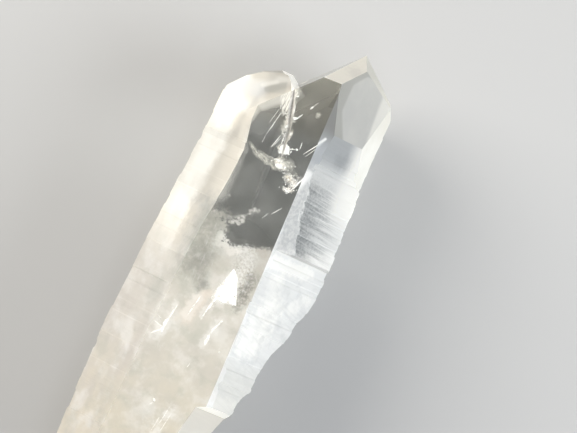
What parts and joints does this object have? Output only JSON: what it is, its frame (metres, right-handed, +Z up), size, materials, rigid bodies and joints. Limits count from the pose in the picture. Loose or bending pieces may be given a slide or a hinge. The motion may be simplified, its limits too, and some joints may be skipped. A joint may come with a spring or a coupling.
{
  "type": "quartz crystal point",
  "caption": "Natural clear quartz point: a ridged prism with a tall faceted tip, a shorter twin point beside it and a broken base, lying on a flat side face.",
  "frame": {"origin": "on the ground, under the middle of the crystal's bounding box", "axes": "+Z up, +Y along the crystal towards its tips, +X across it, away from the shorter point"},
  "size_m": [0.0348, 0.098, 0.026],
  "materials": {
    "quartz": "natural quartz: polished on the clear face, satin and finely ridged on the sides, milky in its lower half"
  },
  "bodies": {
    "root": {"quartz_point": "quartz"}
  },
  "joints": []
}
